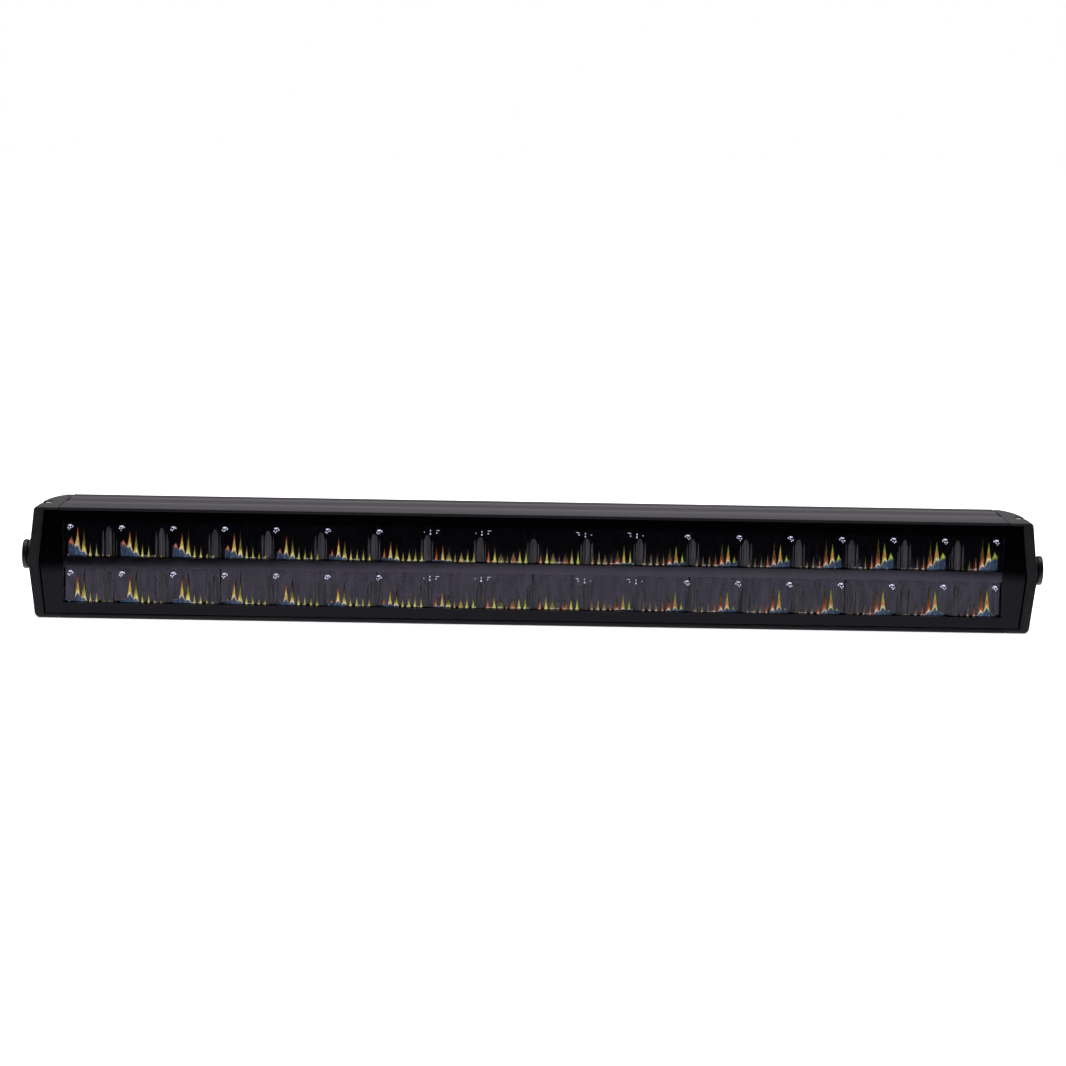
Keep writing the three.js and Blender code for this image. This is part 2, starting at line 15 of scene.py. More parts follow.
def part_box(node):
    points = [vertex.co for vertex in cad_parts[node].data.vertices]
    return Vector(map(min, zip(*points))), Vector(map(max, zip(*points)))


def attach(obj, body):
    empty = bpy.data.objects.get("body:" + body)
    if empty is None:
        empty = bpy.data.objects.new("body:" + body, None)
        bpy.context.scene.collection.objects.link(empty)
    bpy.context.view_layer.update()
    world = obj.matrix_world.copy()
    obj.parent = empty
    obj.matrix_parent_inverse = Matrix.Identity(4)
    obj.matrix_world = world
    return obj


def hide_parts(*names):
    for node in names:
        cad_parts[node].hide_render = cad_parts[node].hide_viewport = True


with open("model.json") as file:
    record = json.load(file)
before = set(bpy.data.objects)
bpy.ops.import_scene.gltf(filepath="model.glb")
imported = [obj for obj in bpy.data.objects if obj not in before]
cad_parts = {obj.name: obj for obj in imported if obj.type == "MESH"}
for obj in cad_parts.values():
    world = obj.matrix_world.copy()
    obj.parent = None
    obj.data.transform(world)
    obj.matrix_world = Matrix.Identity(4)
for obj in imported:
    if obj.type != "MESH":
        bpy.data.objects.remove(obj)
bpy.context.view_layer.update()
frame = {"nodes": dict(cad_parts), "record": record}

MM = 0.001
NODES = frame["nodes"]
HOUSING_LOW, HOUSING_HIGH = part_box("housing")
FRONT_Y = HOUSING_LOW.y
FLOOR_Z = HOUSING_LOW.z
SIDES = ("left", "right")
ROWS = ("upper", "lower")
STRIPS = range(1, 7)
STRIP_GAP = 0.4 * MM             # between neighbouring optic strips
CELLS_PER_STRIP = 3
FLUTES = 7
FLUTE_PITCH = 5.1 * MM
NOISE_LOW, NOISE_HIGH = 0.3, 0.7  # most of a noise lies between these


# ---------------------------------------------------------------- camera

def make_camera():
    """A long lens almost square on to the bar, from slightly above, with a small roll."""
    yaw, pitch, roll = math.radians(0.284), math.radians(7.48), math.radians(0.995)
    distance, across, up_shift = 2.551, 0.00066, -0.03046
    right = Vector((math.cos(yaw), -math.sin(yaw), 0))
    level = Vector((math.sin(yaw), math.cos(yaw), 0))
    forward = level * math.cos(pitch) - Vector((0, 0, math.sin(pitch)))
    up = level * math.sin(pitch) + Vector((0, 0, math.cos(pitch)))
    target = Vector((0, FRONT_Y, 0))
    place = target - right * across - up * up_shift - forward * distance
    rolled_right = right * math.cos(roll) + up * math.sin(roll)
    rolled_up = up * math.cos(roll) - right * math.sin(roll)
    data = bpy.data.cameras.new("camera")
    data.sensor_width = 36
    data.lens = 105.75
    data.clip_end = 100
    camera = bpy.data.objects.new("camera", data)
    turn = Matrix((rolled_right, rolled_up, -forward)).transposed()
    camera.matrix_world = Matrix.Translation(place) @ turn.to_4x4()
    bpy.context.scene.collection.objects.link(camera)
    bpy.context.scene.camera = camera


# ---------------------------------------------------------------- node helpers

def new_material(name):
    material = bpy.data.materials.new(name)
    material.use_nodes = True
    tree = material.node_tree
    tree.nodes.clear()
    output = tree.nodes.new("ShaderNodeOutputMaterial")
    return material, tree, output


def set_inputs(node, **values):
    for key, value in values.items():
        node.inputs[key.replace("_", " ")].default_value = value


def object_coordinates(tree, scale):
    """Object coordinates, stretched by scale along X, Y and Z."""
    source = tree.nodes.new("ShaderNodeTexCoord")
    mapping = tree.nodes.new("ShaderNodeMapping")
    mapping.inputs["Scale"].default_value = scale
    tree.links.new(source.outputs["Object"], mapping.inputs["Vector"])
    return mapping.outputs["Vector"]


def noise(tree, scale, detail=3.0):
    """Noise whose feature size is one over scale, in metres, along each axis."""
    texture = tree.nodes.new("ShaderNodeTexNoise")
    set_inputs(texture, Scale=1.0, Detail=detail, Roughness=0.55)
    tree.links.new(object_coordinates(tree, scale), texture.inputs["Vector"])
    return texture.outputs["Fac"]


def ramp(tree, factor, stops):
    """A colour ramp through (place, colour) stops."""
    node = tree.nodes.new("ShaderNodeValToRGB")
    elements = node.color_ramp.elements
    while len(elements) < len(stops):
        elements.new(0.5)
    for element, (place, colour) in zip(elements, stops):
        element.position = place
        element.color = (*colour, 1)
    tree.links.new(factor, node.inputs["Fac"])
    return node.outputs["Color"]


def map_range(tree, value, from_low, from_high, low, high):
    """Maps from_low..from_high to low..high."""
    node = tree.nodes.new("ShaderNodeMapRange")
    set_inputs(node, From_Min=from_low, From_Max=from_high, To_Min=low, To_Max=high)
    tree.links.new(value, node.inputs["Value"])
    return node.outputs["Result"]


def spread(tree, factor, low, high):
    """Maps the middle of a noise's range to low..high."""
    return map_range(tree, factor, NOISE_LOW, NOISE_HIGH, low, high)


def bump(tree, height, distance, normal=None):
    node = tree.nodes.new("ShaderNodeBump")
    set_inputs(node, Strength=1.0, Distance=distance)
    tree.links.new(height, node.inputs["Height"])
    if normal is not None:
        tree.links.new(normal, node.inputs["Normal"])
    return node.outputs["Normal"]


def shade(colour, factor):
    return tuple(channel * factor for channel in colour)


def multiplied(tree, first, second):
    """The product of two colours."""
    blend = tree.nodes.new("ShaderNodeMix")
    blend.data_type = "RGBA"
    blend.blend_type = "MULTIPLY"
    blend.inputs["Factor"].default_value = 1
    tree.links.new(first, blend.inputs[6])
    tree.links.new(second, blend.inputs[7])
    return blend.outputs[2]


def math_node(tree, operation, first, second, clamp=False):
    """A Math node's result for two values, each a socket or a number."""
    node = tree.nodes.new("ShaderNodeMath")
    node.operation = operation
    node.use_clamp = clamp
    for value, socket in zip((first, second), node.inputs):
        if isinstance(value, (int, float)):
            socket.default_value = value
        else:
            tree.links.new(value, socket)
    return node.outputs[0]


def mixed(tree, share, first, second):
    """The first shader where share is 0, and the second where it is 1."""
    node = tree.nodes.new("ShaderNodeMixShader")
    tree.links.new(share, node.inputs["Fac"])
    tree.links.new(first, node.inputs[1])
    tree.links.new(second, node.inputs[2])
    return node.outputs[0]


def layer_colour(tree, layer):
    """The colours of a mesh's vertex layer."""
    node = tree.nodes.new("ShaderNodeVertexColor")
    node.layer_name = layer
    return node.outputs["Color"]


def painted_light_by_depth(tree, bands):
    """Grey factors along Y, from the housing's front to its back: painted reflection and shade."""
    source = tree.nodes.new("ShaderNodeTexCoord")
    split = tree.nodes.new("ShaderNodeSeparateXYZ")
    tree.links.new(source.outputs["Object"], split.inputs[0])
    place = map_range(tree, split.outputs["Y"], HOUSING_LOW.y, HOUSING_HIGH.y, 0, 1)
    depth = HOUSING_HIGH.y - HOUSING_LOW.y
    return ramp(tree, place, [(d * MM / depth, (level, level, level)) for d, level in bands])


def surface(name, colour, rough, vary=0.25, mottle=(60, 60, 60), grain=None, grain_depth=0.02 * MM,
            lines=None, lines_depth=0.01 * MM, metallic=0.0, specular=0.5, bands=None):
    """A moulded, cast, drawn or painted surface.

    rough is the range of the roughness, and vary how much the colour changes, both over the mottle noise.
    grain is a fine relief, and lines a stretched one.
    bands is a list of (distance from the front, colour factor): painted reflection and shade along a drawn
    profile.
    """
    material, tree, output = new_material(name)
    shader = tree.nodes.new("ShaderNodeBsdfPrincipled")
    set_inputs(shader, Metallic=metallic)
    shader.inputs["Specular IOR Level"].default_value = specular
    patches = noise(tree, mottle)
    stops = [(NOISE_LOW, shade(colour, 1 - vary)), (NOISE_HIGH, shade(colour, 1 + vary))]
    base = ramp(tree, patches, stops)
    # bands multiply painted reflection and shade into the colour
    if bands:
        base = multiplied(tree, base, painted_light_by_depth(tree, bands))
    tree.links.new(base, shader.inputs["Base Color"])
    tree.links.new(spread(tree, patches, *rough), shader.inputs["Roughness"])
    normal = None
    if lines:
        normal = bump(tree, noise(tree, lines, detail=2.0), lines_depth)
    if grain:
        normal = bump(tree, noise(tree, grain, detail=2.0), grain_depth, normal=normal)
    if normal is not None:
        tree.links.new(normal, shader.inputs["Normal"])
    tree.links.new(shader.outputs["BSDF"], output.inputs["Surface"])
    return material


def clear(name, tint, strength, haze=None):
    """Thin clear plastic: it lets light straight through, and its outer faces reflect at a slant.

    What it would reflect square on is left to the dark layers behind it, which share the gloss of the stack.
    strength is a factor on the reflection. haze is a (colour, most) of streaks that veil the view.
    """
    square_on = 0.05
    material, tree, output = new_material(name)
    passing = tree.nodes.new("ShaderNodeBsdfTransparent")
    passing.inputs["Color"].default_value = (*tint, 1)
    gloss = tree.nodes.new("ShaderNodeBsdfGlossy")
    gloss.inputs["Color"].default_value = (1, 1, 1, 1)
    gloss.inputs["Roughness"].default_value = 0.02
    fresnel = tree.nodes.new("ShaderNodeFresnel")
    fresnel.inputs["IOR"].default_value = 1.49
    facing = tree.nodes.new("ShaderNodeNewGeometry")
    outside = math_node(tree, "SUBTRACT", 1, facing.outputs["Backfacing"])
    share = math_node(tree, "MULTIPLY", fresnel.outputs["Fac"], outside)
    slanted = math_node(tree, "SUBTRACT", share, square_on, clamp=True)
    amount = math_node(tree, "MULTIPLY", slanted, strength, clamp=True)
    result = mixed(tree, amount, passing.outputs[0], gloss.outputs[0])
    if haze:
        colour, most = haze
        streaks = ramp(tree, noise(tree, (900, 900, 12)), [(0.35, shade(colour, 0.5)), (0.75, colour)])
        veil = tree.nodes.new("ShaderNodeBsdfDiffuse")
        tree.links.new(streaks, veil.inputs["Color"])
        thickness = spread(tree, noise(tree, (1400, 1400, 20)), 0, most)
        result = mixed(tree, thickness, result, veil.outputs[0])
    tree.links.new(result, output.inputs["Surface"])
    return material


def glint_material():
    """Painted glints that glow: the LED's phosphor as the flutes refract it, in vertex colours broken up by
    fine vertical streaks.
    """
    material, tree, output = new_material("painted_glowing_glint")
    dim, bright = (0.35, 0.35, 0.35), (1.15, 1.15, 1.15)
    streaks = ramp(tree, noise(tree, (1900, 300, 260)), [(0.34, dim), (0.62, bright)])
    streaked = multiplied(tree, layer_colour(tree, "glint"), streaks)
    shader = tree.nodes.new("ShaderNodeBsdfPrincipled")
    set_inputs(shader, Roughness=0.5)
    shader.inputs["Specular IOR Level"].default_value = 0.1
    # painted glow: the glints give off light of their own
    shader.inputs["Emission Strength"].default_value = 0.55
    tree.links.new(streaked, shader.inputs["Base Color"])
    tree.links.new(streaked, shader.inputs["Emission Color"])
    tree.links.new(shader.outputs["BSDF"], output.inputs["Surface"])
    return material


# Painted reflection and shade on the extrusion's skin: colour factors by the distance from its front, in mm.
PAINTED_LIGHT_BANDS = (
    (0, 0.5), (6, 0.6), (22, 0.65), (30, 1.0), (36, 1.35), (42, 1.35), (47, 0.6), (62, 0.6),
    (67, 1.5), (73, 1.4), (77, 1.0), (84, 0.7), (90, 0.7),
)


def make_materials():
    return {
        "housing_aluminium": surface(
            "anodised_aluminium", (0.032, 0.0282, 0.0325), (0.36, 0.46), vary=0.12, mottle=(3, 90, 90),
            lines=(2, 2500, 2500), lines_depth=0.006 * MM, grain=(4000, 4000, 4000), grain_depth=0.004 * MM,
            bands=PAINTED_LIGHT_BANDS),
        "cap_casting": surface(
            "powder_coated_casting", (0.021, 0.0205, 0.0215), (0.42, 0.56), vary=0.2, mottle=(70, 70, 70),
            grain=(1300, 1300, 1300), grain_depth=0.05 * MM),
        "gasket_silicone": surface(
            "silicone", (0.008, 0.008, 0.0085), (0.7, 0.85), grain=(1500, 1500, 1500)),
        "lens_clear": clear("lens_polycarbonate", (0.985, 0.988, 0.99), 1.0),
        "print_black": surface("printed_border", (0.0007, 0.0006, 0.0014), (0.045, 0.055), vary=0.1),
        "bezel_plastic": surface(
            "bezel_moulding", (0.175, 0.166, 0.182), (0.04, 0.08), vary=0.1, metallic=1.0),
        "optic_clear": clear("optic_acrylic", (0.98, 0.98, 0.985), 0.8, haze=((0.1, 0.1, 0.11), 0.02)),
        # collimators coloured near-black: painted shade, as the real optics are clear
        "collimator": surface(
            "collimator", (0.03, 0.03, 0.033), (0.08, 0.2), vary=0.5, mottle=(300, 300, 300)),
        # grey streaks of painted refraction between the cells
        "rib": surface(
            "painted_refraction_streaks", (0.13, 0.126, 0.138), (0.3, 0.5), vary=0.5, mottle=(900, 900, 14), specular=0.3),
        "glint": glint_material(),
        # a dark metallic sheet behind the optics: painted shade
        "shade_sheet": surface(
            "painted_shade_plate", (0.15, 0.143, 0.155), (0.03, 0.1), vary=0.3, mottle=(420, 420, 60),
            metallic=1.0),
        "board_white": surface(
            "solder_resist_white", (0.78, 0.78, 0.74), (0.35, 0.5), vary=0.06, mottle=(200, 200, 200)),
        "thermal_pad": surface("thermal_pad", (0.3, 0.33, 0.38), (0.7, 0.85), grain=(900, 900, 900)),
        "circuit_green": surface(
            "solder_resist_green", (0.015, 0.09, 0.035), (0.3, 0.45), vary=0.4, mottle=(400, 400, 400)),
        "coil_ferrite": surface("ferrite", (0.03, 0.03, 0.032), (0.5, 0.65), grain=(2500, 2500, 2500)),
        "can_aluminium": surface(
            "capacitor_can", (0.62, 0.63, 0.65), (0.2, 0.3), vary=0.1, metallic=0.9, lines=(2500, 5, 2500)),
        "lead_red": surface("lead_insulation_red", (0.4, 0.012, 0.01), (0.35, 0.5), grain=(1200, 1200, 1200)),
        "lead_black": surface(
            "lead_insulation_black", (0.01, 0.01, 0.011), (0.35, 0.5), grain=(1200, 1200, 1200)),
        "nylon_black": surface(
            "moulded_nylon", (0.0075, 0.0075, 0.0085), (0.45, 0.6), grain=(1600, 1600, 1600),
            grain_depth=0.03 * MM),
        "bolt_black": surface(
            "black_plated_steel", (0.006, 0.006, 0.0065), (0.34, 0.46), vary=0.3, mottle=(150, 150, 150),
            grain=(2200, 2200, 2200), grain_depth=0.012 * MM),
        "rubber_black": surface("rubber", (0.007, 0.007, 0.0075), (0.75, 0.9), grain=(1400, 1400, 1400)),
        "stainless": surface(
            "stainless_steel", (0.66, 0.665, 0.68), (0.16, 0.28), vary=0.06, metallic=1.0,
            lines=(4000, 60, 60), lines_depth=0.004 * MM),
    }


# ---------------------------------------------------------------- mesh helpers

def add_object(name, mesh):
    piece = bpy.data.objects.new(name, mesh)
    bpy.context.scene.collection.objects.link(piece)
    return piece


def smooth_by_angle(mesh, degrees):
    mesh.shade_smooth()
    mesh.set_sharp_from_angle(angle=math.radians(degrees))


def to_piece(bm, name, material, smooth=35):
    """Turns a bmesh into an object. Edges sharper than smooth, in degrees, stay sharp."""
    mesh = bpy.data.meshes.new(name)
    bmesh.ops.recalc_face_normals(bm, faces=bm.faces)
    bm.to_mesh(mesh)
    bm.free()
    mesh.materials.append(material)
    smooth_by_angle(mesh, smooth)
    return add_object(name, mesh)


def settle(piece, body, slot, *replaced):
    """Puts a piece on its body, in the place of CAD nodes, which it hides. slot is not used."""
    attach(piece, body)
    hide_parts(*replaced)


def refined(node, body, slot, width, segments=2):
    """A copy of a CAD node whose flat faces are whole again and whose edges are rounded off."""
    bm = bmesh.new()
    bm.from_mesh(NODES[node].data)
    bmesh.ops.remove_doubles(bm, verts=bm.verts, dist=0.002 * MM)
    bmesh.ops.dissolve_limit(bm, angle_limit=math.radians(0.6), verts=bm.verts, edges=bm.edges)
    piece = to_piece(bm, f"{node}_fine", MATERIALS[slot])
    modifier = piece.modifiers.new("rounded_edges", "BEVEL")
    modifier.width = width
    modifier.segments = segments
    modifier.limit_method = "ANGLE"
    modifier.angle_limit = math.radians(38)
    modifier.use_clamp_overlap = True
    modifier.harden_normals = True
    settle(piece, body, slot, node)


def turned(bm, profile, centre, axis, steps):
    """Turns a closed (radius, distance) profile about an axis along X or Y through centre."""
    along = Vector((1, 0, 0)) if axis == "X" else Vector((0, 1, 0))
    radial = Vector((0, 0, 1))
    points = [bm.verts.new(centre + along * d + radial * r) for r, d in profile]
    edges = [bm.edges.new((a, b)) for a, b in zip(points, points[1:] + points[:1])
             if not (profile[points.index(a)][0] == 0 and profile[points.index(b)][0] == 0)]
    bmesh.ops.spin(
        bm, geom=points + edges, cent=centre, axis=along, angle=math.tau, steps=steps, use_merge=True)
    bmesh.ops.remove_doubles(bm, verts=bm.verts, dist=0.0005 * MM)


def arc(a, b, radius, start, end, steps):
    """Points of an arc about (a, b), counted in degrees."""
    return [
        (a + radius * math.cos(math.radians(start + (end - start) * i / steps)),
         b + radius * math.sin(math.radians(start + (end - start) * i / steps)))
        for i in range(steps + 1)
    ]


def block(bm, low, high):
    """Adds a box between two corners."""
    size = high - low
    place = Matrix.Translation((low + high) / 2) @ Matrix.Diagonal((*size, 1))
    bmesh.ops.create_cube(bm, size=1, matrix=place)


# ---------------------------------------------------------------- optics

def cell_pitch(low, high):
    """From cell to cell in an optic strip with these corners."""
    return (high.x - low.x + STRIP_GAP) / CELLS_PER_STRIP


def cell_middles(low, high):
    """The cells' middles along X in an optic strip with these corners."""
    pitch = cell_pitch(low, high)
    return [low.x - STRIP_GAP / 2 + (cell + 0.5) * pitch for cell in range(CELLS_PER_STRIP)]


def plate_outline(low, high):
    """The fluted plate's section in plan: a shallow round bulge per flute, flats between the cells."""
    front, back = low.y, low.y + 2.6 * MM
    valley = front + 0.9 * MM
    steps = 8
    points = [(low.x, valley)]
    for middle in cell_middles(low, high):
        first = middle - FLUTES * FLUTE_PITCH / 2
        for flute in range(FLUTES):
            for i in range(steps):
                share = i / steps
                bulge = math.sin(math.pi * share) * (valley - front)
                points.append((first + (flute + share) * FLUTE_PITCH, valley - bulge))
        points.append((first + FLUTES * FLUTE_PITCH, valley))
    points += [(high.x, valley), (high.x, back), (low.x, back)]
    return points


def fluted_plate(bm, low, high):
    """Extrudes the outline upwards, with softened top and bottom edges."""
    outline = plate_outline(low, high)
    middle_y = low.y + 1.6 * MM
    edge = 0.35 * MM
    rings = []
    for z, inset in ((low.z, edge), (low.z + edge, 0), (high.z - edge, 0), (high.z, edge)):
        ring = []
        for x, y in outline:
            pull = inset if y < middle_y else -inset
            ring.append(bm.verts.new((x, y + pull, z)))
        rings.append(ring)
    for lower, upper in zip(rings, rings[1:]):
        for i in range(len(outline)):
            j = (i + 1) % len(outline)
            bm.faces.new((lower[i], lower[j], upper[j], upper[i]))
    bm.faces.new(rings[0][::-1])
    bm.faces.new(rings[-1])


def cell_centres(row, strip):
    low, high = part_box(f"optic_{row}_{strip}")
    centre_z = (low.z + high.z) / 2
    return [(x, centre_z) for x in cell_middles(low, high)]


def cell_lean(x):
    """-1 at the bar's left end, 0 in its middle and 1 at its right end."""
    return x / HOUSING_HIGH.x


def srgb(red, green, blue):
    """Display values of 0 to 255 as linear ones."""
    return tuple((value / 255) ** 2.2 for value in (red, green, blue))


def mix(a, b, share):
    return a + (b - a) * share


def mix_colours(a, b, share):
    return tuple(mix(p, q, share) for p, q in zip(a, b))


# Each flute shows one painted, glowing flame-like glint, the LED's phosphor as the flute refracts it, above a
# blue foot, a painted reflection. The lists run from a cell's outer side, nearest the bar's end, inwards, for
# a cell in the bar's middle, part-way and at its end. height is the flame's top, blue the foot's top and dip
# the foot's top at the flute's inner edge, as shares of the cell's height. width is the flame's, as a share
# of the flute's.
GLINTS = {
    "middle": {
        "height": (0.45, 0.48, 0.30, 0.24, 0.30, 0.45, 0.40),
        "width": (0.5, 0.62, 1.0, 0.34, 1.0, 0.64, 0.5),
        "blue": (0, 0, 0, 0, 0, 0, 0),
        "dip": (0, 0, 0, 0, 0, 0, 0),
    },
    "part": {
        "height": (0.28, 0.66, 0.74, 0.36, 0.34, 0.30, 0.26),
        "width": (0.45, 0.85, 0.8, 0.5, 0.42, 0.4, 0.4),
        "blue": (0.16, 0.20, 0.10, 0, 0, 0, 0),
        "dip": (0.06, 0.02, 0, 0, 0, 0, 0),
    },
    "end": {
        "height": (0.54, 0.80, 0.93, 0.40, 0.35, 0.06, 0.05),
        "width": (1.1, 1.05, 0.95, 0.44, 0.4, 0.3, 0.3),
        "blue": (0.40, 0.33, 0.14, 0, 0, 0, 0),
        "dip": (0.30, 0.10, 0, 0, 0, 0, 0),
    },
}
CELL_HEIGHT = 28.2 * MM
CELL_FOOT = 14.3 * MM            # a cell's base below its centre
# Colours of the painted glints, which glow, and of their painted blue reflections
PALE = srgb(250, 240, 200)
PEACH = srgb(250, 205, 160)
YELLOW = srgb(206, 196, 96)
OLIVE = srgb(136, 134, 66)
LIME = srgb(190, 202, 72)
ORANGE = srgb(208, 120, 76)
RED_ORANGE = srgb(190, 92, 62)
BROWN = srgb(92, 52, 34)
TAUPE = srgb(120, 104, 84)
RUST = srgb(160, 102, 70)
BLUE = srgb(60, 74, 96)
PALE_BLUE = srgb(120, 140, 172)

# Body and tip colours of the seven glints in the bar's middle, from left to right.
MIDDLE_COLOURS = (
    (ORANGE, BROWN), (YELLOW, TAUPE), (OLIVE, TAUPE), (TAUPE, TAUPE), (RUST, TAUPE), (YELLOW, BROWN),
    (LIME, OLIVE),
)


def cell_share(lean, key):
    """One of a cell's lists, blended by how far the cell is from the bar's middle."""
    away = abs(lean)
    middle, part, end = 0.08, 0.42, 0.86         # the leans of the cells that the lists describe
    if away < part:
        share = max(0, away - middle) / (part - middle)
        return [mix(a, b, share) for a, b in zip(GLINTS["middle"][key], GLINTS["part"][key])]
    share = min(1, (away - part) / (end - part))
    return [mix(a, b, share) for a, b in zip(GLINTS["part"][key], GLINTS["end"][key])]


def glint_colour(flute, place, rise, side, lean):
    """A glint's colour at one point.

    flute counts from the cell's left and place from its outer side. rise goes from 0 at the flame's foot to 1
    at its top, and side from -1 at the flute's left edge to 1 at its right one.
    """
    body, tip = MIDDLE_COLOURS[flute]
    away = min(1, max(0, (abs(lean) - 0.05) / 0.2))
    if lean < 0:
        end_body = YELLOW if place else ORANGE
        end_tip = (RED_ORANGE, RED_ORANGE, BROWN, TAUPE, TAUPE, OLIVE, OLIVE)[place]
        if side > 0.35 and place == 1:
            end_body = ORANGE
    else:
        end_body = (LIME, ORANGE, RED_ORANGE, RED_ORANGE, TAUPE, TAUPE, TAUPE)[place]
        end_tip = (LIME, LIME, OLIVE, TAUPE, TAUPE, TAUPE, TAUPE)[place]
        if abs(side) > 0.5 and place == 1:
            end_body = LIME
    body, tip = mix_colours(body, end_body, away), mix_colours(tip, end_tip, away)
    foot = mix_colours(PEACH if flute in (0, 4) else PALE, end_body if place == 0 else PALE, away)
    pale_end, body_end, tip_start = 0.14, 0.42, 0.78
    if rise < pale_end:
        return mix_colours(foot, body, rise / pale_end)
    colour = mix_colours(body, tip, min(1, max(0, rise - body_end) / (tip_start - body_end)))
    hollow = 0.4 if place == 2 and abs(side) < 0.4 and rise > 0.2 else 1
    return shade(colour, hollow * (1 - 0.65 * max(0, rise - 0.5) / 0.5))


def glint_sheet(bm, layer, chance, x, base_z, depth_y, lean, lower):
    """The glints of one cell as one relief, bulged like the flutes, with its colours in a vertex layer."""
    heights, widths = cell_share(lean, "height"), cell_share(lean, "width")
    blues, dips = cell_share(lean, "blue"), cell_share(lean, "dip")
    towards_end = min(1, abs(lean))
    if lower:
        heights[0] *= 1 - towards_end
        blues[0] *= 1 - towards_end
        dips[0] *= 1 - 0.6 * towards_end
        blues[1:] = [blue * 0.9 for blue in blues[1:]]
    columns, blue_levels, levels = 14, 4, 11
    least_blue, least_flame = 0.2 * MM, 0.15 * MM        # lower ones get no faces
    clear_flame = 2.2 * MM                               # over a blue foot, lower flames turn blue as well
    bulge_depth = 0.5 * MM
    centred = max(0, 1 - abs(lean) / 0.3)
    for flute in range(FLUTES):
        place = flute if lean < 0 else FLUTES - 1 - flute
        outer_dip = dips[place - 1] if place else blues[0]
        dip_left, dip_right = (outer_dip, dips[place]) if lean < 0 else (dips[place], outer_dip)
        wobble = chance.uniform(0.92, 1.08)
        height = heights[place] * wobble
        pointed = 1.7 - 1.2 * centred * (widths[place] > 0.8)
        grid = []
        for i in range(columns + 1):
            side = 2 * i / columns - 1
            dip = dip_left if side < 0 else dip_right
            blue = mix(blues[place], dip, abs(side)) * CELL_HEIGHT
            reach = max(0, 1 - abs(side) / widths[place])
            peak = (height - blues[place]) * CELL_HEIGHT
            flame = peak * (0.65 * reach ** pointed + 0.35 * reach)
            bulge = bulge_depth * (1 - side * side)
            px = x + (flute - (FLUTES - 1) / 2 + side / 2) * FLUTE_PITCH
            line = []
            for k in range(blue_levels + levels + 1):
                if k < blue_levels:
                    up = blue * k / blue_levels
                    paleness = chance.uniform(0, 0.35) * (place > 0) + (place > 1) * 0.3
                    colour = mix_colours(BLUE, PALE_BLUE, paleness)
                else:
                    rise = (k - blue_levels) / levels
                    up = blue + max(flame, 0.02 * MM) * rise
                    colour = glint_colour(flute, place, rise, side, lean)
                    slight = max(0, 1 - flame / clear_flame) * (blue > least_blue)
                    colour = mix_colours(colour, BLUE, 0.85 * slight)
                vert = bm.verts.new((px, depth_y - bulge, base_z + up))
                vert[layer] = (*colour, 1)
                line.append(vert)
            grid.append((line, blue > least_blue, flame > least_flame))
        for (left, left_blue, left_flame), (right, right_blue, right_flame) in zip(grid, grid[1:]):
            for k in range(blue_levels + levels):
                if (left_blue or right_blue) if k < blue_levels else (left_flame or right_flame):
                    bm.faces.new((left[k], right[k], right[k + 1], left[k + 1]))


def dab(bm, layer, centre, size, colour, turn=0.0):
    """A small lens-shaped highlight."""
    place = Matrix.Translation(centre) @ Matrix.Rotation(turn, 4, "Y") @ Matrix.Diagonal((*size, 1))
    made = bmesh.ops.create_icosphere(bm, subdivisions=2, radius=1, matrix=place)
    for vert in made["verts"]:
        vert[layer] = (*colour, 1)


# Highlights as (inward, up, half width, half height, turn), in mm and radians, for a cell away from the bar's
# middle and for one near it.
OUTER_DABS = (
    (0.2, 1.2, 1.7, 0.6, 0.12), (-1.5, -0.9, 0.5, 0.5, 0), (2.3, 0.3, 0.45, 0.7, 0.3),
    (0.6, -0.8, 0.6, 0.35, 0.5), (-0.4, -2.1, 0.35, 0.4, 0),
)
MIDDLE_DABS = (
    (0, 1.5, 0.42, 0.62, 0), (0, -0.9, 0.55, 0.7, 0), (5.2, 0, 0.5, 0.42, 0), (-4.9, 0.4, 0.42, 0.3, 0),
    (6.2, 2.0, 1.6, 0.2, 0.1),
)
FOOT_HIGHLIGHT_DOTS = 11


def cell_dabs(bm, layer, chance, x, base_z, depth_y, lean, pitch):
    """Small painted highlights at the cell's outer top corner, and the row of painted highlight dots along
    its foot; both glow.
    """
    # painted highlight colour, bright enough to glow white
    white = shade(srgb(228, 232, 255), 2.4)
    away = min(1, abs(lean) / 0.5)
    outward = -1 if lean < 0 else 1
    lean_shift, height = 4.9 * MM, 23.4 * MM
    edge = x + outward * (pitch / 2 - lean_shift * abs(lean))
    top = base_z + height
    if away > 0.35:
        bright, dabs = min(1.0, 0.5 + 0.5 * away), OUTER_DABS
    else:
        bright, dabs = 0.9, MIDDLE_DABS
    for dx, dz, wide, tall, turn in dabs:
        up = top + (dz + chance.uniform(-0.25, 0.25)) * MM
        centre = Vector((edge - outward * dx * MM, depth_y - 0.3 * MM, up))
        strength = bright * chance.uniform(0.75, 1.0)
        dab(bm, layer, centre, (wide * MM, 0.3 * MM, tall * MM), shade(white, strength), turn * outward)
    for _ in range(FOOT_HIGHLIGHT_DOTS):
        centre = Vector((x + chance.uniform(-0.42, 0.42) * pitch, depth_y, base_z + 0.35 * MM))
        tone = shade(white, chance.uniform(0.12, 0.5))
        dab(bm, layer, centre, (chance.uniform(0.3, 1.1) * MM, 0.2 * MM, 0.2 * MM), tone)


def collimators(bm, row, strip):
    """Tapering collimators behind the plate, turned in steps so that they shade smoothly."""
    low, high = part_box(f"optic_{row}_{strip}")
    length = high.y - low.y
    for x, z in cell_centres(row, strip):
        start, end = 4.4 * MM, length
        shares = (0, 0.15, 0.3, 0.5, 0.7, 0.85, 1)
        outside = [(mix(14.4, 5, share ** 0.8) * MM, mix(start, end, share)) for share in shares]
        turned(bm, [(0, start), *outside, (0, end)], Vector((x, low.y, z)), "Y", steps=32)


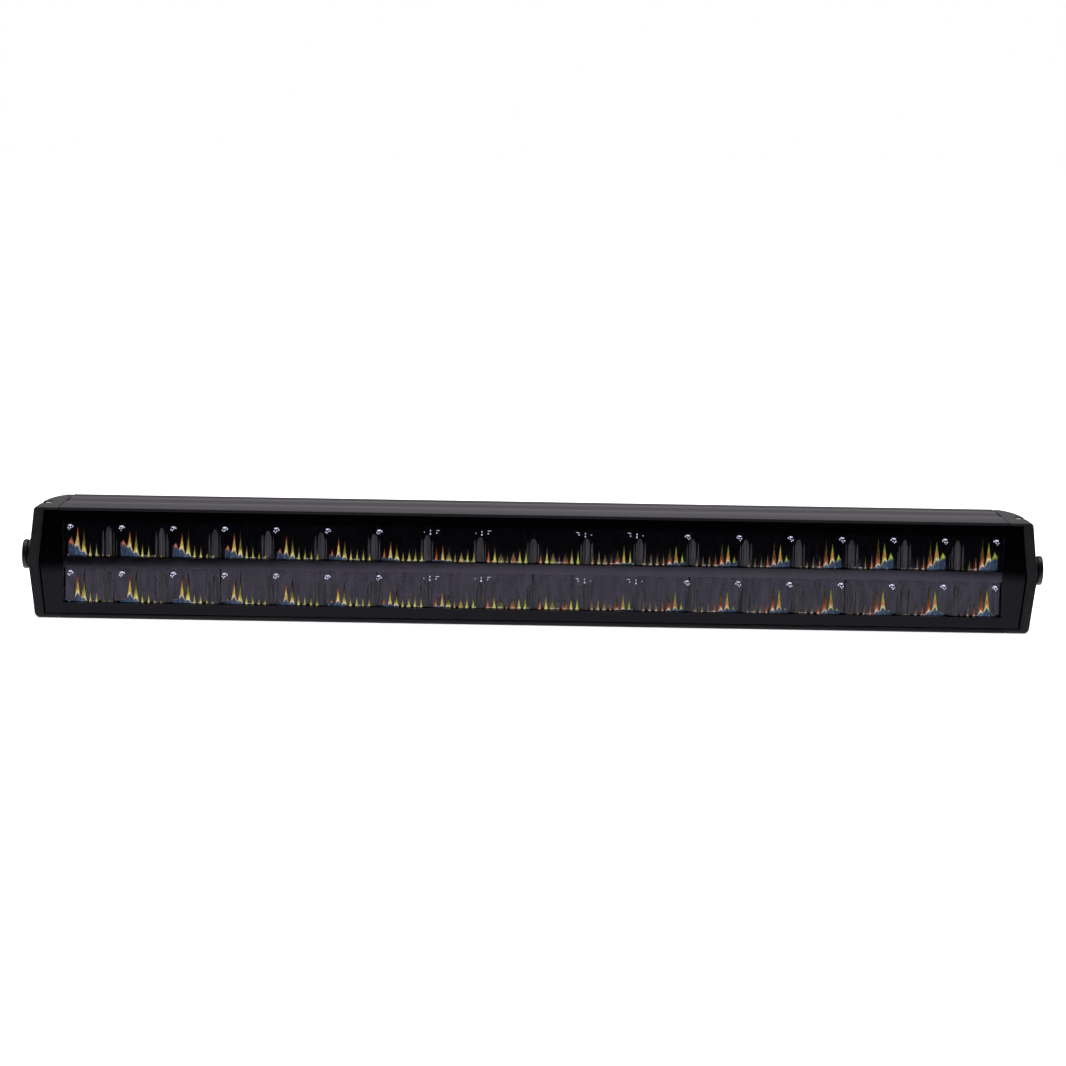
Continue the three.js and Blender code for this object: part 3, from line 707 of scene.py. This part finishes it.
def refraction_streak_sheet(bm, x, base_z, depth_y, width, height, shoulder):
    """An upright painted refraction streak of the clear plastic between two cells: a bulged strip with a
    rounded or notched top.
    """
    columns = 10
    lines = []
    for i in range(columns + 1):
        side = 2 * i / columns - 1
        top = height * (1 - shoulder * abs(side) ** 2.5)
        px = x + side * width / 2
        py = depth_y - 0.5 * MM * (1 - side * side)
        lines.append([bm.verts.new((px, py, base_z + top * k / 4)) for k in range(5)])
    for left, right in zip(lines, lines[1:]):
        for k in range(4):
            bm.faces.new((left[k], right[k], right[k + 1], left[k + 1]))


def cell_refraction_streaks(bm, x, base_z, depth_y, pitch):
    """Painted refraction streaks at the cell's left boundary: a wide one, a narrow one on either side of it,
    and a thin line.
    """
    boundary = x - pitch / 2
    lean_here = cell_lean(boundary)
    offset = 7.0 * MM * lean_here
    tall = mix(20, 25, abs(lean_here)) * MM
    inward = -1 if lean_here > 0 else 1
    refraction_streak_sheet(bm, boundary + offset, base_z, depth_y, mix(6.0, 5.0, abs(lean_here)) * MM, tall, 0.25)
    refraction_streak_sheet(bm, boundary + offset - inward * 4.6 * MM, base_z, depth_y, 1.5 * MM, tall * 0.86, 0.4)
    refraction_streak_sheet(bm, boundary + offset + inward * 4.2 * MM, base_z, depth_y, 1.1 * MM, tall * 0.8, 0.4)
    refraction_streak_sheet(bm, boundary, base_z, depth_y - 0.4 * MM, 0.45 * MM, mix(20, 12, abs(lean_here)) * MM, 0.1)


def build_optics():
    chance = random.Random(5)
    end_reach = 2.4 * MM         # the end sheets of painted shade run on behind the bezel
    for row in ROWS:
        for strip in STRIPS:
            node = f"optic_{row}_{strip}"
            low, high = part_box(node)
            pitch = cell_pitch(low, high)
            behind = low.y + 3.2 * MM
            centres = cell_centres(row, strip)
            pieces = {}

            bm = bmesh.new()
            fluted_plate(bm, low, high)
            pieces["plate"] = to_piece(bm, f"{node}_plate", MATERIALS["optic_clear"], smooth=50)

            bm = bmesh.new()
            collimators(bm, row, strip)
            pieces["cones"] = to_piece(bm, f"{node}_collimators", MATERIALS["collimator"])

            # a dark sheet behind the glints: painted shade that hides the collimators from the front
            bm = bmesh.new()
            margin = Vector((0.3 * MM, 0, 0.3 * MM))
            left_x = low.x - end_reach * (strip == STRIPS[0])
            right_x = high.x + end_reach * (strip == STRIPS[-1])
            block(bm, Vector((left_x, behind + 0.5 * MM, low.z)) + margin,
                  Vector((right_x, behind + 1.1 * MM, high.z)) - margin)
            pieces["shade_sheet"] = to_piece(bm, f"{node}_backing", MATERIALS["shade_sheet"])

            bm = bmesh.new()
            layer = bm.verts.layers.float_color.new("glint")
            for x, z in centres:
                base_z = z - CELL_FOOT
                glint_sheet(bm, layer, chance, x, base_z, behind, cell_lean(x), row == "lower")
                cell_dabs(bm, layer, chance, x, base_z, behind, cell_lean(x), pitch)
            loose = [vert for vert in bm.verts if not vert.link_faces]
            bmesh.ops.delete(bm, geom=loose, context="VERTS")
            pieces["glints"] = to_piece(bm, f"{node}_glints", MATERIALS["glint"], smooth=80)

            # painted refraction streaks between the cells
            bm = bmesh.new()
            for x, z in centres:
                cell_refraction_streaks(bm, x, z - CELL_FOOT, behind + 0.2 * MM, pitch)
            pieces["ribs"] = to_piece(bm, f"{node}_ribs", MATERIALS["rib"])

            for piece in pieces.values():
                settle(piece, "light_bar", "optic_clear", node)


# ---------------------------------------------------------------- bolts, washers, screws

def hexagon_cutter(centre, radius, length):
    """A hexagonal bar along X, for a socket."""
    bm = bmesh.new()
    turn = Matrix.Rotation(math.pi / 2, 4, "Y")
    bmesh.ops.create_cone(
        bm, cap_ends=True, segments=6, radius1=radius, radius2=radius, depth=length,
        matrix=Matrix.Translation(centre) @ turn)
    mesh = bpy.data.meshes.new("cutter")
    bm.to_mesh(mesh)
    bm.free()
    return add_object("cutter", mesh)


def cut_out(piece, cutter):
    """Subtracts the cutter from the piece and deletes the cutter."""
    modifier = piece.modifiers.new("cut", "BOOLEAN")
    modifier.operation = "DIFFERENCE"
    modifier.solver = "EXACT"
    modifier.object = cutter
    bpy.context.view_layer.update()
    evaluated = piece.evaluated_get(bpy.context.evaluated_depsgraph_get())
    mesh = bpy.data.meshes.new_from_object(evaluated)
    piece.modifiers.remove(modifier)
    piece.data = mesh
    bpy.data.objects.remove(cutter)
    smooth_by_angle(mesh, 35)


def mirror_x(profile, side):
    """A (radius, x) profile of the right end, or its mirror image for the left end."""
    return [(r, side * x) for r, x in profile]


def side_bolt(name, side, body):
    """Shank, neck groove and a round head with a soft rim, a shallow dish and a hexagon socket."""
    low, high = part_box("side_bolt_right")
    face = high.x
    head_r = (high.z - low.z) / 2
    head_near = face - 5.3 * MM
    groove = 0.7 * MM
    neck_r = 10.6 * MM
    rim = 1.4 * MM
    dish = 0.5 * MM
    profile = [
        (0, low.x), (3.2 * MM, low.x), (3.9 * MM, low.x + 0.7 * MM), (3.9 * MM, head_near),
        (neck_r, head_near), (neck_r, head_near + groove), (head_r - rim, head_near + groove),
        *arc(head_r - rim, head_near + groove + rim, rim, -90, 0, 6),
        *arc(head_r - rim, face - rim, rim, 0, 90, 8),
        (head_r - 2.6 * MM, face), (head_r - 3.2 * MM, face - dish),
        (5.4 * MM, face - dish), (4.9 * MM, face - dish - 0.1 * MM), (0, face - dish - 0.1 * MM),
    ]
    bm = bmesh.new()
    turned(bm, mirror_x(profile, side), Vector((0, 0, 0)), "X", steps=72)
    piece = to_piece(bm, f"{name}_turned", MATERIALS["bolt_black"])
    cutter = hexagon_cutter(Vector((side * face, 0, 0)), 3.5 * MM, 7 * MM)
    cut_out(piece, cutter)
    settle(piece, body, "bolt_black", name)


def rounded_ring(name, slot, body, side, inner, edge):
    """A washer with rounded edges, in the place of its CAD node."""
    low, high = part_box(name.replace("left", "right"))
    outer = (high.z - low.z) / 2
    profile = [
        *arc(inner + edge, low.x + edge, edge, 180, 270, 3),
        *arc(outer - edge, low.x + edge, edge, -90, 0, 5),
        *arc(outer - edge, high.x - edge, edge, 0, 90, 5),
        *arc(inner + edge, high.x - edge, edge, 90, 180, 3),
    ]
    bm = bmesh.new()
    turned(bm, mirror_x(profile, side), Vector((0, 0, 0)), "X", steps=72)
    piece = to_piece(bm, f"{name}_turned", MATERIALS[slot])
    settle(piece, body, slot, name)


def cap_screw(side_name, side, place):
    """Socket head screw: knurled head with a chamfer, and a hexagon socket."""
    name = f"cap_screw_{side_name}_{place}"
    low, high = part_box(f"cap_screw_right_{place}")
    head_r = (high.z - low.z) / 2
    centre = Vector((0, (low.y + high.y) / 2, (low.z + high.z) / 2))
    head_x = high.x - 5 * MM
    edge = 0.45 * MM
    profile = [
        (0, low.x), (1.8 * MM, low.x), (2.3 * MM, low.x + 0.5 * MM), (2.3 * MM, head_x),
        *arc(head_r - edge, head_x + edge, edge, -90, 0, 3),
        *arc(head_r - edge, high.x - edge, edge, 0, 90, 4),
        (2.9 * MM, high.x), (2.6 * MM, high.x - 0.3 * MM), (0, high.x - 0.3 * MM),
    ]
    bm = bmesh.new()
    steps = 96
    turned(bm, mirror_x(profile, side), centre, "X", steps=steps)
    knurl_depth = 0.12 * MM
    for vert in bm.verts:
        out = Vector((0, vert.co.y - centre.y, vert.co.z - centre.z))
        if abs(out.length - head_r) < 0.05 * MM:
            turn = math.atan2(out.z, out.y)
            wave = 0.5 - 0.5 * math.cos(turn * steps / 4)
            vert.co -= out.normalized() * knurl_depth * wave
    piece = to_piece(bm, f"{name}_turned", MATERIALS["stainless"])
    cutter = hexagon_cutter(Vector((side * high.x, centre.y, centre.z)), 2.3 * MM, 5.4 * MM)
    cut_out(piece, cutter)
    settle(piece, "light_bar", "stainless", name)


def build_fasteners():
    bore_r = 4.4 * MM
    for side_name, side in (("left", -1), ("right", 1)):
        side_bolt(f"side_bolt_{side_name}", side, f"{side_name}_bolt")
        rounded_ring(
            f"bolt_washer_{side_name}", "bolt_black", f"{side_name}_washer", side, bore_r, 0.45 * MM)
        rounded_ring(f"rubber_washer_{side_name}", "rubber_black", "light_bar", side, bore_r, 0.6 * MM)
        for place in ("top", "bottom", "back_upper", "back_lower"):
            cap_screw(side_name, side, place)


# ---------------------------------------------------------------- gland and vent

def gland_nut():
    """Dome nut with grip ribs round its skirt."""
    low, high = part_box("gland_nut")
    centre = Vector(((low.x + high.x) / 2, 0, (low.z + high.z) / 2))
    radius = (high.x - low.x) / 2
    bore = 3.6 * MM
    skirt = low.y + 9.5 * MM
    profile = [
        (7.9 * MM, low.y), *arc(radius - 0.5 * MM, low.y + 0.5 * MM, 0.5 * MM, -90, 0, 3),
        (radius, skirt), (radius - 1.1 * MM, skirt + 1 * MM),
        *arc(bore + 1.6 * MM, high.y - 4.6 * MM, 4.6 * MM, 30, 78, 8),
        (bore + 1.2 * MM, high.y), (bore + 0.4 * MM, high.y), (bore, high.y - 0.4 * MM),
        (bore, low.y + 13.6 * MM), (7.9 * MM, low.y + 11.6 * MM),
    ]
    bm = bmesh.new()
    ribs, rib_depth = 24, 0.5 * MM
    turned(bm, profile, centre, "Y", steps=96)
    for vert in bm.verts:
        out = Vector((vert.co.x - centre.x, 0, vert.co.z - centre.z))
        if abs(out.length - radius) < 0.02 * MM:
            turn = math.atan2(out.z, out.x)
            wave = 0.5 - 0.5 * math.cos(turn * ribs)
            vert.co -= out.normalized() * rib_depth * wave
    piece = to_piece(bm, "gland_nut_domed", MATERIALS["nylon_black"])
    settle(piece, "light_bar", "nylon_black", "gland_nut")


def vent():
    """Breather vent: a round plug with slots round its rim."""
    low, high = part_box("breather_vent")
    centre = Vector(((low.x + high.x) / 2, 0, (low.z + high.z) / 2))
    radius = (high.x - low.x) / 2
    flange = high.y - 6.3 * MM
    profile = [
        (0, low.y), (4 * MM, low.y), (4 * MM, flange),
        *arc(radius - 0.5 * MM, flange + 0.5 * MM, 0.5 * MM, -90, 0, 3),
        (radius, high.y - 2.2 * MM),
        *arc(radius - 1.6 * MM, high.y - 1.6 * MM, 1.6 * MM, 20, 90, 6),
        (4.2 * MM, high.y), (3.8 * MM, high.y - 0.5 * MM), (0, high.y - 0.5 * MM),
    ]
    bm = bmesh.new()
    turned(bm, profile, centre, "Y", steps=72)
    for vert in bm.verts:
        out = Vector((vert.co.x - centre.x, 0, vert.co.z - centre.z))
        turn = math.degrees(math.atan2(out.z, out.x)) % 60
        in_slot = abs(turn - 30) < 6
        if in_slot and abs(out.length - radius) < 0.02 * MM:
            vert.co -= out.normalized() * 1.0 * MM
    piece = to_piece(bm, "breather_vent_plug", MATERIALS["nylon_black"])
    settle(piece, "light_bar", "nylon_black", "breather_vent")


# ---------------------------------------------------------------- the rest of the bar

def build_body():
    refined("housing", "light_bar", "housing_aluminium", 0.25 * MM)
    for side in SIDES:
        refined(f"end_cap_{side}", "light_bar", "cap_casting", 0.6 * MM, segments=3)
        refined(f"end_gasket_{side}", "light_bar", "gasket_silicone", 0.1 * MM, segments=1)
    refined("front_lens", "light_bar", "lens_clear", 0.4 * MM)
    refined("lens_border", "light_bar", "print_black", 0.05 * MM, segments=1)
    refined("bezel_frame", "light_bar", "bezel_plastic", 0.5 * MM)
    refined("gland_body", "light_bar", "nylon_black", 0.4 * MM)


def finish_cad_nodes():
    """Gives every CAD node its slot's procedural material, for the nodes that stay as they are."""
    for entry in frame["record"]["subparts"]:
        data = NODES[entry["node"]].data
        data.materials.clear()
        data.materials.append(MATERIALS[entry["material_slot"]])


# ---------------------------------------------------------------- stage

def plane(name, corners, material):
    mesh = bpy.data.meshes.new(name)
    mesh.from_pydata(corners, [], [range(len(corners))])
    mesh.materials.append(material)
    piece = add_object(name, mesh)
    return piece


def even_glow(name, colour, strength):
    """Light of one colour and strength."""
    material, tree, output = new_material(name)
    shader = tree.nodes.new("ShaderNodeEmission")
    shader.inputs["Color"].default_value = (*colour, 1)
    shader.inputs["Strength"].default_value = strength
    tree.links.new(shader.outputs[0], output.inputs["Surface"])
    return material


def floor_material():
    """Pale to the camera, and darker in the light that it throws back on the bar's front."""
    pale, dark, fill_strength = 0.93, 0.1, 0.22
    material, tree, output = new_material("pale_floor")
    shades = []
    for level in (pale, dark):
        shader = tree.nodes.new("ShaderNodeBsdfDiffuse")
        shader.inputs["Color"].default_value = (level, level, level, 1)
        shades.append(shader)
    fill = tree.nodes.new("ShaderNodeEmission")
    fill.inputs["Strength"].default_value = fill_strength
    filled = tree.nodes.new("ShaderNodeAddShader")
    tree.links.new(shades[0].outputs[0], filled.inputs[0])
    tree.links.new(fill.outputs[0], filled.inputs[1])
    path = tree.nodes.new("ShaderNodeLightPath")
    choice = mixed(tree, path.outputs["Is Diffuse Ray"], filled.outputs[0], shades[1].outputs[0])
    tree.links.new(choice, output.inputs["Surface"])
    return material


def only_in_reflections(piece):
    """Hides a stage card from every ray but the glossy ones."""
    piece.visible_camera = False
    piece.visible_diffuse = False
    piece.visible_shadow = False
    piece.visible_transmission = False


def make_stage():
    reach = 30
    corners = ((-reach, -reach), (reach, -reach), (reach, reach), (-reach, reach))
    plane("floor", [(x, y, FLOOR_Z) for x, y in corners], floor_material())

    # The lens mirrors a table top that is lit near the bar and fades out a forearm in front of it, and above
    # that a dark room. lit_edge is the line where the light fades, as (x, distance in front of the bar).
    lit_edge = ((-3, 0.2), (-0.6, 0.25), (-0.454, 0.278), (-0.2, 0.322), (0, 0.345), (0.35, 0.349),
                (0.45, 0.315), (0.6, 0.27), (3, 0.2))
    lit, unlit, far_level = 0.36, 0.02, 0.012
    tint = (0.97, 0.93, 1.14)
    fade, table_depth, room_distance, room_height = 0.05, 0.43, 0.42, 3
    just_above = FLOOR_Z + 0.5 * MM
    rows = [(lit, [(x, FRONT_Y - 0.002, just_above) for x, _ in lit_edge]),
            (lit, [(x, FRONT_Y - distance + fade, just_above) for x, distance in lit_edge]),
            (unlit, [(x, FRONT_Y - distance - fade * 0.4, just_above) for x, distance in lit_edge]),
            (far_level, [(x, FRONT_Y - table_depth, just_above) for x, _ in lit_edge])]
    mesh = bpy.data.meshes.new("lit_table")
    count = len(lit_edge)
    quads = [(k * count + i, k * count + i + 1, (k + 1) * count + i + 1, (k + 1) * count + i)
             for k in range(len(rows) - 1) for i in range(count - 1)]
    mesh.from_pydata([point for _, line in rows for point in line], [], quads)
    glow = mesh.color_attributes.new("glow", "FLOAT_COLOR", "POINT")
    for index, spot in enumerate(glow.data):
        spot.color = (*shade(tint, rows[index // count][0]), 1)
    mesh.materials.append(glow_material())
    table = add_object("lit_table", mesh)
    only_in_reflections(table)
    wide, far, ceiling = 4, FRONT_Y - room_distance, FLOOR_Z + room_height
    dark = plane("dark_room", [
        (-wide, far, FLOOR_Z), (wide, far, FLOOR_Z), (wide, far, ceiling), (-wide, far, ceiling),
    ], even_glow("dark_room", (0.85, 0.8, 1.2), 0.012))
    only_in_reflections(dark)


def glow_material():
    """Light as strong as the mesh's glow layer says."""
    material, tree, output = new_material("table_glow")
    shader = tree.nodes.new("ShaderNodeEmission")
    tree.links.new(layer_colour(tree, "glow"), shader.inputs["Color"])
    tree.links.new(shader.outputs[0], output.inputs["Surface"])
    return material


def area_light(name, place, target, size, power):
    data = bpy.data.lights.new(name, "AREA")
    data.shape = "RECTANGLE"
    data.size, data.size_y = size
    data.energy = power
    light = bpy.data.objects.new(name, data)
    light.location = place
    light.rotation_euler = (Vector(target) - Vector(place)).to_track_quat("-Z", "Y").to_euler()
    light.visible_camera = False
    bpy.context.scene.collection.objects.link(light)


def make_world():
    """White behind the bar and dim in front of it, and white to the camera from every side."""
    world = bpy.data.worlds.new("studio")
    bpy.context.scene.world = world
    world.use_nodes = True
    tree = world.node_tree
    tree.nodes.clear()
    output = tree.nodes.new("ShaderNodeOutputWorld")
    coordinates = tree.nodes.new("ShaderNodeTexCoord")
    split = tree.nodes.new("ShaderNodeSeparateXYZ")
    tree.links.new(coordinates.outputs["Generated"], split.inputs[0])
    tone = ramp(tree, map_range(tree, split.outputs["Y"], -1, 1, 0, 1), [
        (0.0, (0.05, 0.048, 0.06)), (0.42, (0.1, 0.097, 0.112)), (0.6, (0.26, 0.254, 0.268)),
        (1.0, (0.3, 0.293, 0.31))])
    lit = tree.nodes.new("ShaderNodeBackground")
    tree.links.new(tone, lit.inputs["Color"])
    white = tree.nodes.new("ShaderNodeBackground")
    white.inputs["Color"].default_value = (1, 1, 1, 1)
    white.inputs["Strength"].default_value = 1.0
    path = tree.nodes.new("ShaderNodeLightPath")
    choice = mixed(tree, path.outputs["Is Camera Ray"], lit.outputs[0], white.outputs[0])
    tree.links.new(choice, output.inputs["Surface"])


def make_lights():
    sun = bpy.data.lights.new("high_softbox", "SUN")
    sun.energy = 4.2
    sun.angle = math.radians(110)
    light = bpy.data.objects.new("high_softbox", sun)
    light.visible_glossy = False
    bpy.context.scene.collection.objects.link(light)
    area_light("overhead", (0, 0.5, 2.4), (0, 0, 0), (3.0, 1.6), 26)
    area_light("left_edge", (-2.4, 0.5, 1.0), (-0.4, 0, 0), (0.6, 1.6), 4)
    area_light("right_edge", (2.4, 0.5, 1.0), (0.4, 0, 0), (0.6, 1.6), 4)


def set_view():
    scene = bpy.context.scene
    scene.view_settings.view_transform = "Standard"
    scene.view_settings.look = "None"
    scene.cycles.max_bounces = 12
    scene.cycles.transparent_max_bounces = 24
    scene.cycles.use_denoising = True


make_camera()
MATERIALS = make_materials()
finish_cad_nodes()
build_body()
build_optics()
build_fasteners()
gland_nut()
vent()
make_stage()
make_world()
make_lights()
set_view()
